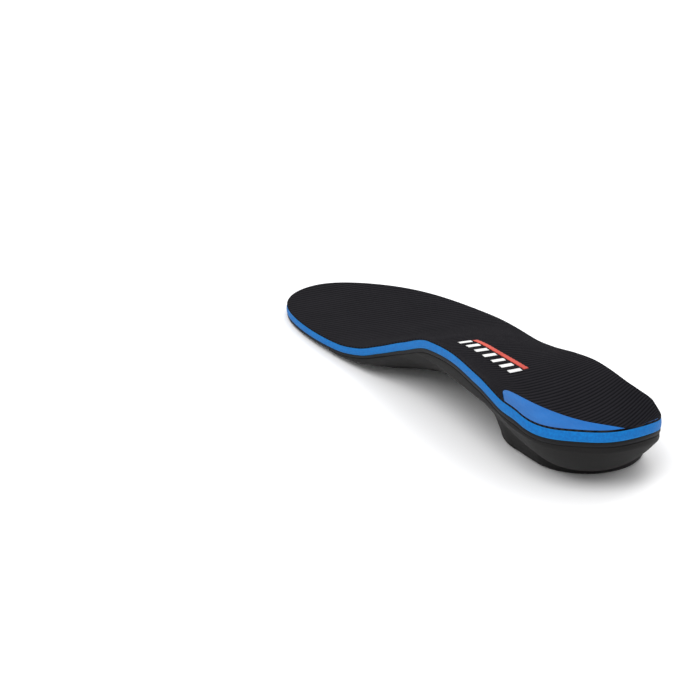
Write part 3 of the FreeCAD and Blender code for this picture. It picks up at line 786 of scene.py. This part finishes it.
@dataclass
class ArchPrint:
    """A row of slanted bars and one stripe, printed on the cover in plain shapes."""
    bars: int = 7
    bar_length: float = 6.4
    bar_width: float = 3.0
    pitch: float = 7.2
    stripe_length: float = 45.0
    stripe_width: float = 2.6
    gap: float = 1.0
    x: float = 133.0
    y: float = -3.1
    angle: float = 5.0
    film: float = 0.12
    lift: float = 0.12
    cell: float = 0.6

    def row(self, name: str, cover: bpy.types.Object, count: int, size: tuple[float, float],
            turn: float, aside: float, material: bpy.types.Material) -> bpy.types.Object:
        """Lays a row of equal flat shapes on the cover.

        Args:
            name: the object's name.
            cover: the piece that they lie on.
            count: how many there are.
            size: length along x and width along y of one shape.
            turn: turn of each shape, in degrees.
            aside: how far the row lies from the middle of the print.
            material: the ink.

        Returns:
            The row as one mesh.
        """
        obj = new_object(name, np.zeros((3, 3)), [(0, 1, 2)])
        repeat = Repeat(name)
        nodes = repeat.nodes
        number = repeat.input("Count", "Int", count)
        pitch = repeat.input("Pitch", "Float", self.pitch * MM)
        film = repeat.input("Film", "Float", self.film * MM)
        lift = repeat.input("Lift", "Float", self.lift * MM)
        surface = repeat.input("Surface", "Object", cover)
        lean = math.radians(self.angle)
        step = nodes.add("ShaderNodeCombineXYZ", {
            0: nodes.math("MULTIPLY", pitch, math.cos(lean)), 1: nodes.math("MULTIPLY", pitch, math.sin(lean))})
        line = nodes.add("GeometryNodeMeshLine", {"Count": number, "Offset": step.outputs[0]})
        shape = nodes.add("GeometryNodeMeshCube", {
            "Size": (size[0] * MM, size[1] * MM, self.film * MM),
            "Vertices X": max(4, int(size[0] / self.cell)),
            "Vertices Y": max(4, int(size[1] / self.cell)), "Vertices Z": 2})
        put = nodes.add("GeometryNodeInstanceOnPoints", {
            "Points": line.outputs[0], "Instance": shape.outputs[0],
            "Rotation": (0.0, 0.0, math.radians(turn))})
        real = nodes.add("GeometryNodeRealizeInstances", {0: put.outputs[0]})
        back = (count - 1) / 2 * self.pitch
        centre = ((self.x - BED.heel_x - back * math.cos(lean) + aside * math.sin(lean)) * MM,
                  (self.y - back * math.sin(lean) - aside * math.cos(lean)) * MM, 0.0)
        place = nodes.vector("ADD", nodes.add("GeometryNodeInputPosition").outputs[0], centre)
        split = nodes.add("ShaderNodeSeparateXYZ", {0: place})
        above = nodes.add("ShaderNodeCombineXYZ", {0: split.outputs[0], 1: split.outputs[1], 2: 0.2})
        target = nodes.add("GeometryNodeObjectInfo", {"Object": surface}, transform_space="RELATIVE")
        ray = nodes.add("GeometryNodeRaycast", {
            "Target Geometry": target.outputs["Geometry"], "Source Position": above.outputs[0],
            "Ray Direction": (0.0, 0.0, -1.0), "Ray Length": 1.0})
        hit = nodes.add("ShaderNodeSeparateXYZ", {0: ray.outputs["Hit Position"]}).outputs[2]
        half = nodes.math("MULTIPLY", film, 0.5)
        high = nodes.math("ADD", nodes.math("ADD", hit, split.outputs[2]), nodes.math("ADD", lift, half))
        laid = nodes.add("ShaderNodeCombineXYZ", {0: split.outputs[0], 1: split.outputs[1], 2: high})
        moved = nodes.add("GeometryNodeSetPosition", {"Geometry": real.outputs[0], "Position": laid.outputs[0]})
        return repeat.finish(obj, moved.outputs[0], material)

    def build(self, cover: bpy.types.Object) -> list[bpy.types.Object]:
        """Makes the bars and the stripe on the cover."""
        aside = self.bar_length / 2 + self.gap + self.stripe_width / 2
        bars = self.row("arch_bars", cover, self.bars, (self.bar_width, self.bar_length), 0.0, 0.0,
                        WHITE_INK.make())
        stripe = self.row("arch_stripe", cover, 1, (self.stripe_length, self.stripe_width), self.angle, aside,
                          CORAL_INK.make())
        for obj, node, slot in ((bars, "arch_print_bars", "print_white"),
                                (stripe, "arch_print_stripe", "print_coral")):
            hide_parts(node)
            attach(obj, REAR)
        return [bars, stripe]


# ------------------------------------------------------------------ moulded base
@dataclass(frozen=True)
class Egg:
    """Two circles on one line along the insole, joined by their tangents."""
    rear_x: float
    rear_radius: float
    front_x: float
    front_radius: float
    y: float = 0.0

    def outside(self, x: Array, y: Array) -> Array:
        """Distance from the outline, negative inside it."""
        length = self.front_x - self.rear_x
        slope = (self.rear_radius - self.front_radius) / length
        run = math.sqrt(1 - slope * slope)
        across, along = np.abs(y - self.y), x - self.rear_x
        side = across * slope * -1 + along * run
        near = np.hypot(across, along) - self.rear_radius
        far = np.hypot(across, along - length) - self.front_radius
        between_them = across * run + along * slope - self.rear_radius
        return np.where(side < 0, near, np.where(side > length * run, far, between_them))


class Cradle(Layer):
    """The moulded base: the wall under the arch and cup, and the heel post that stands on the floor."""
    SHELL = 3.6
    EDGE_INSET = 0.5
    FRONT = ((150.0, -39.8), (199.0, -7.1), (206.0, 44.2))
    WALL = (
        (-8, 0.60, 0.60, 0.50), (50, 0.80, 0.80, 0.14), (75, 1.35, 1.00, 0.30), (95, 0.95, 1.00, 0.45),
        (112, 0.72, 1.00, 0.14), (128, 0.45, 1.25, 0.18), (141, 0.36, 1.60, 0.16),
        (153, 0.28, 2.10, 0.36), (170, 0.14, 2.30, 0.80), (190, 0.14, 1.05, 0.45), (212, 0.12, 0.12, 0.12))
    THIN_OUT = 1.8
    FLOOR = Egg(49.5, 22.5, 68.5, 24.0, -8.0)
    ROUND = 4.0
    DRAFT = 3.0
    POST_HEIGHT = 12.0
    FLARE = Egg(34.0, 37.25, 68.5, 29.25)
    FLARE_HEIGHT = 26.0
    FILLET = 1.4

    def __init__(self) -> None:
        """Sets the cradle between the backing and its own underside."""
        super().__init__("moulded_cradle", BED.surface(BED.backing, 1.0), self.underside, Grid(0.66, 132),
                         ((0.0, 0.30), (0.12, 0.10), (0.3, 0.0), (0.75, 0.0), (0.92, 0.10), (1.0, 0.35)))

    def plan(self, inset: float) -> tuple[Array, Array]:
        """x and y of the grid's points behind the front edge, moved in by inset."""
        outline = EDGE.moved(self.EDGE_INSET + inset)
        end = self.FRONT[-1][0] - inset
        x = outline.start + self.grid.rows(self.FRONT[-1][0] - EDGE.start) * (end - outline.start)
        front = np.interp(x, [p[0] - inset for p in self.FRONT], [p[1] for p in self.FRONT])
        low = np.maximum(outline.at(x, 0)[0], np.where(x > self.FRONT[0][0], front + inset, -99.0))
        high = np.maximum(outline.at(x, 1)[0], low + 0.02)
        y = low[:, None] + (high - low)[:, None] * self.grid.across()[None, :]
        return np.repeat(x[:, None], self.grid.columns, 1), y

    def wall_share(self, x: Array, y: Array) -> Array:
        """How much of the shell's full wall there is at a place."""
        columns = [between([w[0] for w in self.WALL], [w[k] for w in self.WALL], x) for k in (1, 2, 3)]
        inward = y > 0
        edge = np.where(inward, columns[2], columns[0])
        half = np.where(inward, BED.column(2, x), -BED.column(1, x))
        part = np.minimum(np.abs(y) / half, 1.0) ** self.THIN_OUT
        return columns[1] + (edge - columns[1]) * part

    def post(self, x: Array, y: Array) -> Array:
        """Height of the heel post's outside: a round floor edge, a short wall and a flare."""
        away = np.maximum(self.FLOOR.outside(x, y), 0.0)
        curved = self.ROUND - np.sqrt(np.maximum(self.ROUND ** 2 - np.minimum(away, self.ROUND) ** 2, 0.0))
        short = self.ROUND + (away - self.ROUND) * (self.POST_HEIGHT - self.ROUND) / self.DRAFT
        beyond = away - self.ROUND - self.DRAFT
        left = np.maximum(-self.FLARE.outside(x, y), 0.01)
        share = beyond / np.maximum(beyond + left, 0.01)
        flare = self.POST_HEIGHT + share * (self.FLARE_HEIGHT - self.POST_HEIGHT)
        return np.where(away < self.ROUND, curved, np.where(beyond < 0, short, flare))

    def underside(self, x: Array, y: Array) -> Array:
        """Height of the cradle's underside, with a fillet where the post meets the shell."""
        shell = BED.top(x, y) - BED.lean(x, y) * (
            BED.padding(x) + BED.backing + self.SHELL * self.wall_share(x, y))
        post = self.post(x, y)
        blend = np.clip(0.5 + 0.5 * (post - shell) / self.FILLET, 0.0, 1.0)
        lower = post + (shell - post) * blend - self.FILLET * blend * (1 - blend)
        thin = BED.surface(BED.backing + 0.3, 1.0)(x, y)
        return np.minimum(np.maximum(lower, 0.0), np.maximum(thin, 0.0))


@dataclass
class MouldedBase:
    """The moulded cradle, and the stiffener buried in it, which keeps its CAD shape."""

    def cradle(self) -> bpy.types.Object:
        """The cradle, redrawn with the roundings that moulding leaves."""
        obj = Cradle().build()
        obj.data.materials.append(BASE_EVA.make())
        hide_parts("base_cradle")
        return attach(obj, REAR)

    def stiffener(self) -> bpy.types.Object:
        """The stiffener with its finish."""
        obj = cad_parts["arch_stiffener"]
        obj.data.materials.clear()
        obj.data.materials.append(STIFF_PLASTIC.make())
        return obj

    def build(self) -> list[bpy.types.Object]:
        """Makes both pieces."""
        return [self.cradle(), self.stiffener()]


# ------------------------------------------------------------------ camera, light and floor
@dataclass
class Studio:
    """Pale floor, soft light from in front on the left, and the camera; in metres."""
    eye: tuple[float, float, float] = (-1.4050, 0.7540, 0.6683)
    ahead: tuple[float, float, float] = (0.84873, -0.38783, -0.35951)
    lens: float = 204.2
    floor_size: float = 12.0
    room: float = 1.0
    key: float = 18.0
    fill: float = 10.0

    def camera(self) -> None:
        """Makes the camera and hands it to the scene."""
        data = bpy.data.cameras.new("camera")
        data.lens, data.sensor_width = self.lens, 36.0
        data.clip_end = 50.0
        obj = bpy.data.objects.new("camera", data)
        bpy.context.scene.collection.objects.link(obj)
        obj.location = self.eye
        obj.rotation_euler = Vector(self.ahead).to_track_quat("-Z", "Y").to_euler()
        bpy.context.scene.camera = obj

    def lamp(self, name: str, place: tuple[float, float, float], side: float, power: float) -> None:
        """A square soft light that faces the insole."""
        data = bpy.data.lights.new(name, "AREA")
        data.shape, data.size, data.energy = "SQUARE", side, power
        obj = bpy.data.objects.new(name, data)
        obj.location = place
        obj.rotation_euler = (-Vector(place)).to_track_quat("-Z", "Y").to_euler()
        bpy.context.scene.collection.objects.link(obj)

    def floor(self) -> None:
        """A wide matte floor just under the insole."""
        half = self.floor_size / 2
        mesh = bpy.data.meshes.new("floor")
        mesh.from_pydata([(-half, -half, 0), (half, -half, 0), (half, half, 0), (-half, half, 0)], [],
                         [(0, 1, 2, 3)])
        obj = bpy.data.objects.new("floor", mesh)
        bpy.context.scene.collection.objects.link(obj)
        shader = Shader("floor", Weave.SOLID, Base_Color=(0.92, 0.92, 0.925, 1.0), Roughness=0.6,
                        Specular_IOR_Level=0.3)
        mesh.materials.append(shader.material)

    def build(self) -> None:
        """Sets up the whole studio."""
        world = bpy.data.worlds.new("studio")
        bpy.context.scene.world = world
        world.use_nodes = True
        world.node_tree.nodes["Background"].inputs["Color"].default_value = (1.0, 1.0, 1.0, 1.0)
        world.node_tree.nodes["Background"].inputs["Strength"].default_value = self.room
        bpy.context.scene.view_settings.view_transform = "Standard"
        self.camera()
        self.floor()
        self.lamp("key", (-0.70, 0.85, 1.50), 1.2, self.key)
        self.lamp("fill", (0.60, -0.95, 1.60), 1.2, self.fill)


def main() -> None:
    logging.basicConfig(level=logging.INFO, format="%(message)s")
    layers = SoftStack().build()
    made = [*layers, HeelPatch().build(), *ArchPrint().build(layers[0]), *MouldedBase().build()]
    Studio().build()
    for obj in made:
        log.info("%-20s %7d faces", obj.name, len(obj.data.polygons))


if __name__ == "__main__":
    main()
